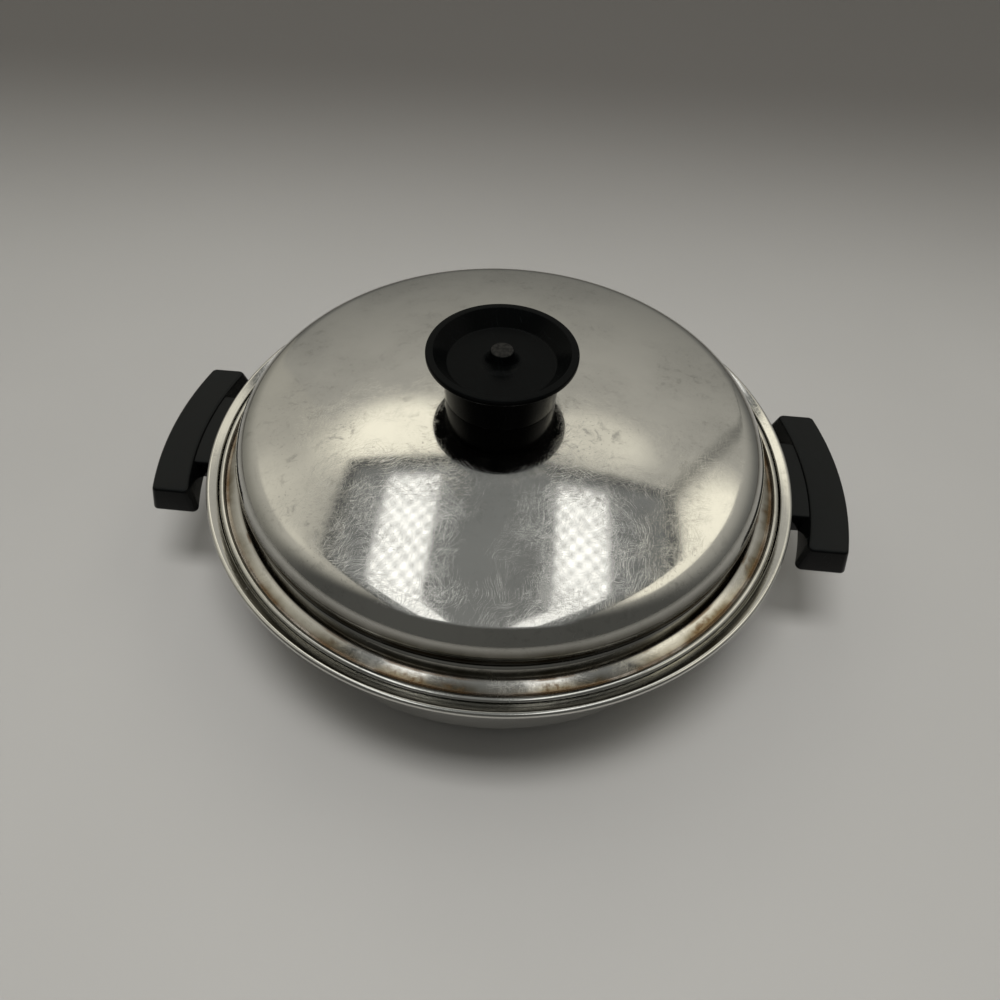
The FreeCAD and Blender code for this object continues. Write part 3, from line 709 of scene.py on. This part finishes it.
def mottled(name, first, second, size, smoothest, roughest, metal, relief):
    """A mottled, grainy surface between two colours, with its roughness between two values."""
    material, tree, shader = new_material(name, Metallic=metal)
    cloud = mottle(tree, size, detail=4.0, roughness=0.6)
    fine = mottle(tree, size / 12, detail=3.0, roughness=0.65)
    surface = blend(tree, fit(tree, cloud, 0.35, 0.65), first, second)
    surface = blend(tree, fit(tree, fine, 0.45, 0.75, 0.0, 0.5), surface, second)
    finish_surface(tree, shader, surface, fit(tree, fine, 0.3, 0.7, smoothest, roughest),
                   bump(tree, fine, relief))
    return material


# the pieces

class BuildPan(Operator):
    """Turn the pan from its outline: flat bottom, tapered wall, stepped seat, sloped lip and rolled rim"""
    bl_idname = "skillet.pan"
    bl_label = "Pan"

    def execute(self, context):
        size = context.scene.skillet_pan
        finish = context.scene.skillet_finish
        slope = size.lip_slope
        bead = Vector((size.rim_radius - size.bead, size.rim_height - size.bead))
        lip_end = bead + Vector((-math.sin(slope), math.cos(slope))) * size.bead
        step = size.rim_radius - size.bead - size.lip_width
        lip_start = lip_end.y - (lip_end.x - step) * math.tan(slope)
        seat = size.rim_height - size.seat_depth
        seat_start = step - size.seat_width
        floor = size.bottom_height + size.sheet
        foot = seat_start - (seat - floor) * math.tan(size.wall_taper)
        inside = rounded([
            (0, floor, 0),
            (foot * 0.3, floor, 0),
            (foot * 0.6, floor, 0),
            (foot, floor, size.corner - size.sheet),
            (seat_start, seat, size.seat_edge),
            (step, seat, size.seat_corner),
            (step, lip_start, size.lip_edge),
            (lip_end.x, lip_end.y, 0),
        ])
        outside = offset(inside[:-1], size.sheet)
        roll_start = 90 + math.degrees(slope)
        edge = arc(bead, size.bead, roll_start, roll_start - math.degrees(size.bead_sweep), 22)
        piece = turned("pan_body", inside + edge[1:] + outside[::-1], finish.turns)
        material = steel("pan_steel_finish", finish, spots=0.8, scratched=0.7, turned_lines=1.0)
        give(piece, "skillet", "pan_steel", material, "pan_shell")
        return {"FINISHED"}


class BuildLid(Operator):
    """Turn the lid from its outline: crown, shoulder, crease, collar, flange and rolled hem, with stains on the
    flange and painted shade on collar and flange
    """
    bl_idname = "skillet.lid"
    bl_label = "Lid"

    def execute(self, context):
        size = context.scene.skillet_lid
        finish = context.scene.skillet_finish
        outside = self.dome(size) + self.collar(size)[1:]
        hem = Vector((size.hem_circle, size.hem_height))
        above = self.hem_angle(size, size.groove_height)
        under = self.hem_angle(size, size.groove_height - size.sheet)
        edge = arc(hem, size.hem_radius, 180 - above, -180 - under, 26)
        reach = hem.x - size.hem_radius * math.cos(math.radians(under))
        inside = [p for p in offset(outside, size.sheet) if p.x < reach]
        piece = turned("lid_dome", outside + edge[1:] + inside[::-1], finish.turns)
        material = steel("lid_steel_finish", finish, stains_and_shade=True)
        give(piece, "lid", "lid_steel", material, "lid_shell")
        return {"FINISHED"}

    def hem_angle(self, size, height):
        """Angle in degrees at which a height meets the inner side of the rolled hem."""
        return math.degrees(math.asin((height - size.hem_height) / size.hem_radius))

    def collar(self, size):
        """Outside from the crease over the ledge and the collar to the groove, where the hem starts."""
        above = math.radians(self.hem_angle(size, size.groove_height))
        groove_end = size.hem_circle - size.hem_radius * math.cos(above)
        return rounded([
            (size.crease_radius, size.crease_height, 0),
            (size.crease_radius + size.crease_step, size.crease_height - size.crease_step, 0),
            (size.crease_radius + size.ledge_width, size.crease_height - size.ledge_drop, size.crease_step),
            (size.foot_radius, size.foot_height, size.foot_corner),
            (size.foot_radius + size.flange_width, size.groove_height, size.groove_corner),
            (groove_end, size.groove_height, 0),
        ], steps=6)

    def dome(self, size, crown_steps=40, shoulder_steps=28):
        """Outside of the crown and shoulder, from the screw hole to the crease."""
        crease = Vector((size.crease_radius, size.crease_height))
        crown = Vector((0, size.top_height - size.crown_radius))
        reach = size.crown_radius - size.shoulder_radius
        apart = crease - crown
        along = (reach ** 2 - size.shoulder_radius ** 2 + apart.length ** 2) / (2 * apart.length)
        aside = math.sqrt(reach ** 2 - along ** 2)
        unit = apart.normalized()
        shoulder = crown + unit * along + Vector((-unit.y, unit.x)) * aside
        lean = math.degrees(math.atan2(shoulder.y - crown.y, shoulder.x - crown.x))
        end = math.degrees(math.atan2(crease.y - shoulder.y, crease.x - shoulder.x))
        start = math.degrees(math.acos(size.screw_hole / size.crown_radius))
        return (arc(crown, size.crown_radius, start, lean, crown_steps)
                + arc(shoulder, size.shoulder_radius, lean, end, shoulder_steps)[1:])


class BuildKnob(Operator):
    """Turn the knob from its outline: lip, cove and stem, with a dish and a worn nub in its middle"""
    bl_idname = "skillet.knob"
    bl_label = "Knob"

    def execute(self, context):
        size = context.scene.skillet_knob
        lid = context.scene.skillet_lid
        finish = context.scene.skillet_finish
        top = size.top_height
        floor = top - size.dish_depth
        nub_top = floor + size.nub_height
        lip = top - size.lip_thickness
        crown = lid.top_height - lid.crown_radius
        foot = crown + math.sqrt(lid.crown_radius ** 2 - size.stem_foot ** 2)
        hollow = foot + size.hollow_height
        hollow_radius = size.stem_foot - size.foot_wall
        outline = rounded([
            (0, nub_top, 0),
            (size.nub_radius / 2, nub_top, 0),
            (size.nub_radius, nub_top, size.nub_edge),
            (size.nub_radius + size.nub_spread, floor, size.nub_foot),
            (size.dish_floor, floor, size.dish_corner),
            (size.rim_radius - size.lip_width, top, size.lip_inner_edge),
            (size.rim_radius, top, size.lip_outer_edge),
            (size.rim_radius, lip, size.lip_outer_edge),
            (size.stem_top, lip - size.cove_height, size.cove_radius),
            (size.stem_foot, foot, size.foot_edge),
            (hollow_radius, foot, size.foot_edge),
            (hollow_radius, hollow, size.hollow_corner),
            (0, hollow, 0),
        ], steps=7)
        piece = turned("knob_body", outline, finish.turns // 2, sharp=40)
        material = phenolic("knob_finish", finish, dust_and_sheen=0.2, satin=0.30, glossy=0.14, sheen=0.05)
        give(piece, "lid", "black_phenolic", material, "lid_knob")
        return {"FINISHED"}


class BuildHandles(Operator):
    """Model the right handle, grip and block in one, and copy it mirrored to the left"""
    bl_idname = "skillet.handles"
    bl_label = "Handles"

    def execute(self, context):
        size = context.scene.skillet_handles
        finish = context.scene.skillet_finish
        right = self.grip(size)
        combine(right, self.root(context), "UNION")
        combine(right, self.slot(size), "DIFFERENCE")
        self.finish_handle(right)
        left = right.copy()
        left.data = right.data.copy()
        context.collection.objects.link(left)
        left.name = "handle_grip_left"
        left.data.name = "handle_grip_left"
        left.scale = (-1, 1, 1)
        settle(left)
        self.finish_handle(left)
        material = phenolic("handle_finish", finish, dust_and_sheen=0.9, satin=0.40, glossy=0.15)
        give(right, "skillet", "black_phenolic", material, "handle_right")
        give(left, "skillet", "black_phenolic", material, "handle_left")
        return {"FINISHED"}

    def finish_handle(self, piece):
        """Closes a handle's mesh up and shades it."""
        bpy.ops.object.mode_set(mode="EDIT")
        clean()
        finish_piece(piece, sharp=32)

    def grip(self, size):
        """Arc-shaped grip: a wall between its bottom and top outlines, closed and softened at both."""
        bottom = size.top_height - size.height
        outer = size.inner_radius + size.top_width
        spread = size.draft
        piece = start_piece("handle_grip_right")
        draw(self.plan(size, size.inner_radius - spread, outer + spread, size.half_length + spread, bottom))
        bpy.ops.mesh.select_all(action="DESELECT")
        bpy.ops.mesh.primitive_plane_add(size=start_size, location=(0, 0, 0))
        draw(self.plan(size, size.inner_radius, outer, size.half_length, size.top_height))
        clean()
        bpy.ops.mesh.bridge_edge_loops()
        for height in (bottom, size.top_height):
            choose_edges_at(piece, height)
            bpy.ops.mesh.edge_face_add()
        clean()
        for height in (bottom, size.top_height):
            choose_edges_at(piece, height)
            bpy.ops.mesh.bevel(offset=size.edge, segments=4, affect="EDGES")
        clean()
        bpy.ops.object.mode_set(mode="OBJECT")
        return piece

    def plan(self, size, inner, outer, half, height, side_steps=40, corner_steps=7):
        """Outline from above of an arc-shaped bar with square ends and rounded corners."""
        corner = size.end_corner
        level = half - corner
        in_x = math.sqrt((inner + corner) ** 2 - level ** 2)
        out_x = math.sqrt((outer - corner) ** 2 - level ** 2)
        in_angle = math.degrees(math.atan2(level, in_x))
        out_angle = math.degrees(math.atan2(level, out_x))
        middle = Vector((0, 0))
        points = arc(middle, inner, -in_angle, in_angle, side_steps)
        points += arc(Vector((in_x, level)), corner, 180 + in_angle, 90, corner_steps)[1:]
        points += arc(Vector((out_x, level)), corner, 90, out_angle, corner_steps)
        points += arc(middle, outer, out_angle, -out_angle, side_steps)[1:]
        points += arc(Vector((out_x, -level)), corner, -out_angle, -90, corner_steps)[1:]
        points += arc(Vector((in_x, -level)), corner, -90, -180 - in_angle, corner_steps)[:-1]
        return [Vector((p.x, p.y, height)) for p in points]

    def root(self, context, past_saddle=0.02):
        """Block from the grip to the bracket's saddle, cut to the pan's wall."""
        size = context.scene.skillet_handles
        half = size.block_width / 2
        low = (bracket_low.x - past_saddle, -half, size.top_height - size.height + size.block_rise)
        high = (size.inner_radius + size.top_width / 2, half, size.top_height - size.block_drop)
        piece = block("block", low, high)
        apply_modifier(piece, "BEVEL", width=size.block_edge, segments=3, limit_method="ANGLE",
                       angle_limit=math.radians(60))
        combine(piece, self.pan_wall(context), "DIFFERENCE")
        return piece

    def slot(self, size, past_saddle=0.02, under=0.002):
        """Room in the block for the bracket's tongue, open below."""
        half = size.tongue_width / 2
        bottom = size.top_height - size.height + size.block_rise
        return block("slot", (bracket_low.x - past_saddle, -half, bottom - under),
                     (bracket_high.x, half, bracket_low.z + size.tongue_sheet))

    def pan_wall(self, context, above_rim=0.004):
        """Closed cone that fills the pan's tapered wall, grown by the saddle's thickness."""
        pan = context.scene.skillet_pan
        size = context.scene.skillet_handles
        taper = math.tan(pan.wall_taper)
        grown = (size.saddle + size.clearance + pan.sheet) / math.cos(pan.wall_taper)
        seat = pan.rim_height - pan.seat_depth
        at_seat = pan.rim_radius - pan.bead - pan.lip_width - pan.seat_width + grown
        low = size.top_height - 2 * size.height
        high = pan.rim_height + above_rim
        bpy.ops.object.select_all(action="DESELECT")
        bpy.ops.mesh.primitive_cone_add(vertices=360, radius1=at_seat - (seat - low) * taper,
                                        radius2=at_seat + (high - seat) * taper, depth=high - low,
                                        location=(0, 0, (low + high) / 2))
        cone = bpy.context.object
        settle(cone)
        return cone


class FinishSmallParts(Operator):
    """Give the brackets, base, socket, element, screws and feet their own finishes"""
    bl_idname = "skillet.small_parts"
    bl_label = "Small parts"

    def execute(self, context):
        finish = context.scene.skillet_finish
        coat(steel("bracket_finish", finish, scratched=0.6, roughness=0.12), "handle_bracket_left",
             "handle_bracket_right")
        coat(steel("screw_finish", finish, spots=0.5, scratched=0.4, roughness=0.22, tone=0.9), "foot_screws",
             "element_clamp_screws", "socket_guard_screws", "handle_screws_left", "handle_screws_right",
             "knob_screw", "knob_washer", "foot_spacers", "element_clamps")
        coat(steel("well_finish", finish, spots=0.6, scratched=0.5, roughness=0.18, turned_lines=0.6),
             "sensor_well")
        for name, first, second, size, smoothest, roughest, metal, relief, nodes in (
                ("spreader_finish", finish.aluminium, (0.42, 0.42, 0.41), 0.02, 0.32, 0.5, 1, 2e-5,
                 ("heat_spreader",)),
                ("element_finish", (0.22, 0.19, 0.16), (0.10, 0.085, 0.075), 0.01, 0.35, 0.6, 1, 2e-5,
                 ("heating_element",)),
                ("cover_finish", (0.014, 0.014, 0.015), (0.03, 0.029, 0.028), 0.012, 0.32, 0.52, 0, 4e-5,
                 ("base_cover",)),
                ("rubber_finish", finish.rubber, (0.04, 0.04, 0.04), 0.006, 0.6, 0.8, 0, 3e-5,
                 ("foot_front_left", "foot_front_right", "foot_back_left", "foot_back_right")),
                ("ceramic_finish", (0.78, 0.76, 0.71), (0.66, 0.63, 0.57), 0.004, 0.28, 0.5, 0, 2e-5,
                 ("terminal_insulator_left", "terminal_insulator_right")),
                ("pin_finish", (0.70, 0.68, 0.62), (0.52, 0.49, 0.44), 0.005, 0.16, 0.34, 1, 2e-5,
                 ("terminal_pin_left", "terminal_pin_right")),
                ("brass_finish", (0.62, 0.45, 0.19), (0.46, 0.33, 0.14), 0.004, 0.22, 0.4, 1, 2e-5,
                 ("knob_insert", "handle_inserts_left", "handle_inserts_right"))):
            coat(mottled(name, first, second, size, smoothest, roughest, metal, relief), *nodes)
        coat(phenolic("guard_finish", finish, dust_and_sheen=0.7, glossy=0.26), "socket_guard")
        return {"FINISHED"}


class BuildStage(Operator):
    """Make the pale floor, the soft studio light and the camera"""
    bl_idname = "skillet.stage"
    bl_label = "Stage"

    def execute(self, context):
        stage = context.scene.skillet_stage
        self.floor(stage)
        self.studio(context, stage)
        self.key(stage)
        self.camera(context, stage)
        context.scene.view_settings.view_transform = "Standard"
        return {"FINISHED"}

    def floor(self, stage):
        """Pale floor that falls into shade towards the back."""
        bpy.ops.object.select_all(action="DESELECT")
        bpy.ops.mesh.primitive_plane_add(size=floor_size, location=(0, 0, 0))
        floor = bpy.context.object
        floor.name = "floor"
        material, tree, shader = new_material("floor_finish", Roughness=0.62)
        cloud = mottle(tree, 0.25, detail=3.0)
        shade = blend(tree, fit(tree, cloud, 0.3, 0.7), stage.floor, shaded(stage.floor, 0.965))
        shade = blend(tree, fit(tree, along_axis(tree, 1), *floor_fade), shade, stage.far_floor)
        tree.links.new(shade, shader.inputs["Base Color"])
        floor.data.materials.append(material)

    def studio(self, context, stage):
        """Soft walls round an opening straight above, as the world's light."""
        world = bpy.data.worlds.new("soft_studio")
        context.scene.world = world
        world.use_nodes = True
        tree = world.node_tree
        tree.nodes.clear()
        direction = add(tree, "TexCoord").outputs["Generated"]
        x, y, z = add(tree, "SeparateXYZ", {0: direction}).outputs
        up = most(tree, z, lowest_up)
        across = calculate(tree, "DIVIDE", x, up)
        deep = calculate(tree, "DIVIDE", y, up)
        wide = calculate(tree, "ABSOLUTE", across)
        inside = times(tree, fit(tree, wide, *opening_side), between(tree, deep, opening_near, opening_far))
        walls = self.walls(tree, stage, across, deep, y, z)
        light = blend(tree, inside, walls, self.ceiling(tree, stage, across, deep, wide))
        background = add(tree, "Background", {"Color": light, "Strength": 1.0})
        add(tree, "OutputWorld", {"Surface": background.outputs[0]})

    def walls(self, tree, stage, across, deep, y, z):
        """Walls with cream patches and a dark corner line, dimmer near the floor and at the front."""
        walls = blend(tree, fit(tree, z, 0.0, 0.85), stage.horizon, stage.walls)
        spread = add(tree, "CombineXYZ", {0: across, 1: deep}).outputs[0]
        patches = 0.0
        for middle, reach, strength in glow_patches:
            away = measure(tree, laid(tree, spread, reach, middle=middle))
            patches = sum_of(tree, patches, fit(tree, away, 1.0, 0.35, 0.0, strength))
        bright = add(tree, "Mix", {0: patches, 6: walls, 7: (*stage.glow, 1)}, data_type="RGBA",
                     blend_type="ADD")
        towards_left = times(tree, across, -corner_slope)
        corner = sum_of(tree, towards_left, deep)
        edge = times(tree, between(tree, corner, corner_near, corner_far), fit(tree, across, *corner_start))
        walls = blend(tree, times(tree, edge, 0.6), bright.outputs[2], shaded(stage.horizon, 0.5))
        left_wall = fit(tree, sum_of(tree, towards_left, times(tree, deep, -1.0)), *left_wall_edge)
        walls = blend(tree, times(tree, left_wall, 0.16), walls, stage.glow)
        return blend(tree, fit(tree, y, *front_fade), walls, shaded(stage.horizon, 0.6))

    def ceiling(self, tree, stage, across, deep, wide):
        """Greyer opening with a darker frame and two dotted strip lamps."""
        within = times(tree, fit(tree, wide, *frame_side), fit(tree, deep, *frame_far))
        ceiling = blend(tree, within, shaded(stage.opening, 0.5), stage.opening)
        across_rate, deep_rate = dot_rates
        dots = times(tree, calculate(tree, "SINE", times(tree, across, across_rate)),
                     calculate(tree, "SINE", times(tree, deep, deep_rate)))
        glare = calculate(tree, "MULTIPLY_ADD", dots, dot_depth * stage.strip, stage.strip)
        left, right = (self.strip(tree, across, *edges) for edges in strips_across)
        strips = times(tree, most(tree, left, right), between(tree, deep, strips_near, strips_far))
        return brighten(tree, times(tree, strips, glare), ceiling, white)

    def strip(self, tree, across, low, high):
        """1 across a strip lamp, with soft edges."""
        rise = (low - strip_fade, low + strip_fade)
        fall = (high + strip_fade, high - strip_fade)
        return between(tree, across, rise, fall)

    def key(self, stage):
        """One soft lamp overhead, which the polished steel doesn't mirror."""
        bpy.ops.object.light_add(type="AREA", location=key_place)
        lamp = bpy.context.object
        lamp.name = "key"
        lamp.data.shape = "RECTANGLE"
        lamp.data.size = key_width
        lamp.data.size_y = key_depth
        lamp.data.energy = stage.key
        lamp.data.color = white
        lamp.visible_camera = False
        lamp.visible_glossy = False

    def camera(self, context, stage):
        """Camera at the photograph's viewing angle."""
        data = bpy.data.cameras.new("camera")
        camera = bpy.data.objects.new("camera", data)
        context.collection.objects.link(camera)
        turn = Matrix.Rotation(stage.heading, 3, "Z")
        back = turn @ Vector((0, -math.cos(stage.pitch), math.sin(stage.pitch)))
        right = turn @ Vector((1, 0, 0))
        up = back.cross(right)
        across = math.cos(stage.roll) * right + math.sin(stage.roll) * up
        upright = -math.sin(stage.roll) * right + math.cos(stage.roll) * up
        matrix = Matrix((across, upright, back)).transposed().to_4x4()
        matrix.translation = camera_place
        camera.matrix_world = matrix
        data.lens = stage.lens
        data.sensor_width = film_width
        data.shift_x, data.shift_y = camera_shift
        data.clip_start = clip_start
        context.scene.camera = camera


class SkilletPanel(Panel):
    """Sizes, finishes and build steps of the skillet"""
    bl_idname = "VIEW3D_PT_skillet"
    bl_label = "Round electric skillet"
    bl_space_type = "VIEW_3D"
    bl_region_type = "UI"
    bl_category = "Skillet"

    def draw(self, context):
        for operator in steps:
            self.layout.operator(operator.bl_idname)
        for name, group in groups:
            settings = getattr(context.scene, name)
            section = self.layout.box()
            section.label(text=group.__doc__)
            for key in group.__annotations__:
                section.prop(settings, key)


groups = (
    ("skillet_pan", PanSizes),
    ("skillet_lid", LidSizes),
    ("skillet_knob", KnobSizes),
    ("skillet_handles", HandleSizes),
    ("skillet_finish", FinishSettings),
    ("skillet_stage", StageSettings),
)
steps = (BuildPan, BuildLid, BuildKnob, BuildHandles, FinishSmallParts, BuildStage)


def register():
    """Adds the settings, the build steps and the panel to Blender."""
    for name, group in groups:
        bpy.utils.register_class(group)
        setattr(bpy.types.Scene, name, PointerProperty(type=group))
    for operator in steps:
        bpy.utils.register_class(operator)
    bpy.utils.register_class(SkilletPanel)


def unregister():
    """Takes them out again."""
    bpy.utils.unregister_class(SkilletPanel)
    for operator in reversed(steps):
        bpy.utils.unregister_class(operator)
    for name, group in reversed(groups):
        delattr(bpy.types.Scene, name)
        bpy.utils.unregister_class(group)


def main():
    """Builds the skillet and its stage."""
    register()
    bpy.ops.skillet.pan()
    bpy.ops.skillet.lid()
    bpy.ops.skillet.knob()
    bpy.ops.skillet.handles()
    bpy.ops.skillet.small_parts()
    bpy.ops.skillet.stage()


if __name__ == "__main__":
    main()
